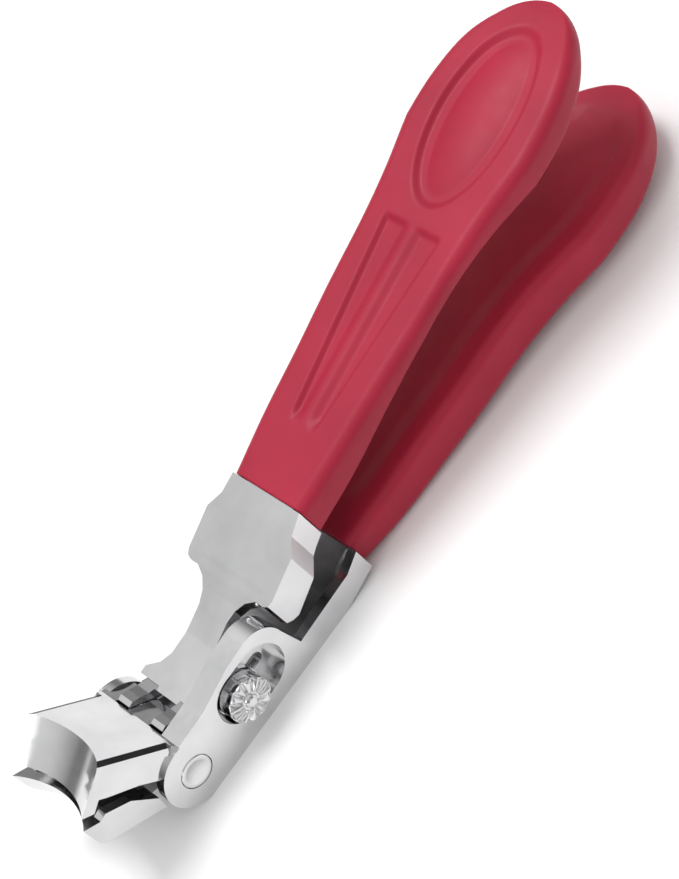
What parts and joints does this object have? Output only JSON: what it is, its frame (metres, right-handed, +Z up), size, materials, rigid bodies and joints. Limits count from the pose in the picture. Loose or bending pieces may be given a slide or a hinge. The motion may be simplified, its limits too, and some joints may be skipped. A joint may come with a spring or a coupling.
{
  "type": "nail clipper",
  "caption": "Plier-type nail clipper with wide curved blades, a sprung lever pair in soft red grips, and a sliding lock button beside the pivot",
  "frame": {"origin": "centre of the bounding box in plan, at its underside, which is the surface the clipper lies on", "axes": "+X runs from the jaws to the handle ends, +Z is up, and the pivot axis is along Y with the lock button on the -Y side"},
  "size_m": [0.1158, 0.0224, 0.0271],
  "materials": {
    "steel": "polished stamped stainless steel",
    "blade": "polished and ground stainless steel",
    "rivet": "polished turned steel",
    "spring": "drawn spring wire",
    "silicone": "matte moulded silicone"
  },
  "bodies": {
    "lower_half": {"lower_lever": "steel", "lower_grip": "silicone", "pivot_rivet": "rivet", "return_spring": "spring"},
    "upper_half": {"upper_lever": "steel", "upper_grip": "silicone", "jaw_fork": "steel", "lower_jaw": "blade"},
    "lock": {"lock_pin": "rivet", "lock_knob": "rivet", "lock_washer": "steel"}
  },
  "joints": [
    {"name": "lever_pivot", "type": "hinge", "parent": "lower_half", "child": "upper_half", "pos_m": [-0.04408, 0, 0.005], "axis": [0, 1, 0], "range_deg": [0, 6.3], "stiffness_Nm_per_rad": 0.3, "springref_deg": -8.59, "deforming": ["return_spring"]},
    {"name": "lock_slide", "type": "slide", "parent": "lower_half", "child": "lock", "axis": [1, 0, 0], "range_m": [0, 0.0036]}
  ]
}
